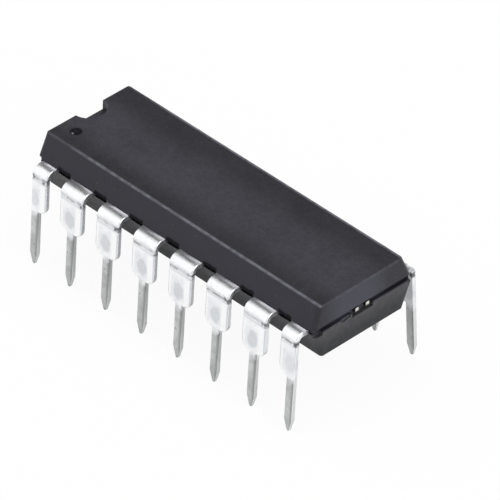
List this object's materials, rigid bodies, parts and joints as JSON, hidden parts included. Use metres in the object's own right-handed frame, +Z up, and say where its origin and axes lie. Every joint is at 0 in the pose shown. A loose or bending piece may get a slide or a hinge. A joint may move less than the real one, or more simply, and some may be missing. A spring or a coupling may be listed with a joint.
{
  "type": "dual in-line integrated circuit",
  "caption": "Black moulded integrated circuit package with a pin 1 notch and dimple and two rows of formed metal leads, for plated holes in a board or a socket.",
  "frame": {"origin": "middle of the part at the height of its pin tips, on the surface that it stands on", "axes": "+X along the body away from the pin 1 notch, +Y from the row of leads 1 to 8 towards the row of leads 9 to 16, +Z up out of the top face"},
  "size_m": [0.0192, 0.0086, 0.007],
  "materials": {
    "mould_compound": "fine spark-eroded texture, satin black epoxy moulding compound",
    "tinned_lead": "bright tin plate, rolled and formed, with light tool marks",
    "frame_metal": "bare rolled lead frame metal",
    "die_adhesive": "silver-filled adhesive",
    "silicon": "polished silicon",
    "gold_wire": "drawn gold"
  },
  "bodies": {
    "root": {"mould_body": "mould_compound", "lead_1": "tinned_lead", "lead_2": "tinned_lead", "lead_3": "tinned_lead", "lead_4": "tinned_lead", "lead_5": "tinned_lead", "lead_6": "tinned_lead", "lead_7": "tinned_lead", "lead_8": "tinned_lead", "lead_9": "tinned_lead", "lead_10": "tinned_lead", "lead_11": "tinned_lead", "lead_12": "tinned_lead", "lead_13": "tinned_lead", "lead_14": "tinned_lead", "lead_15": "tinned_lead", "lead_16": "tinned_lead", "die_paddle": "frame_metal", "die_attach": "die_adhesive", "silicon_die": "silicon", "bond_wire_1": "gold_wire", "bond_wire_2": "gold_wire", "bond_wire_3": "gold_wire", "bond_wire_4": "gold_wire", "bond_wire_5": "gold_wire", "bond_wire_6": "gold_wire", "bond_wire_7": "gold_wire", "bond_wire_8": "gold_wire", "bond_wire_9": "gold_wire", "bond_wire_10": "gold_wire", "bond_wire_11": "gold_wire", "bond_wire_12": "gold_wire", "bond_wire_13": "gold_wire", "bond_wire_14": "gold_wire", "bond_wire_15": "gold_wire", "bond_wire_16": "gold_wire"}
  },
  "joints": []
}
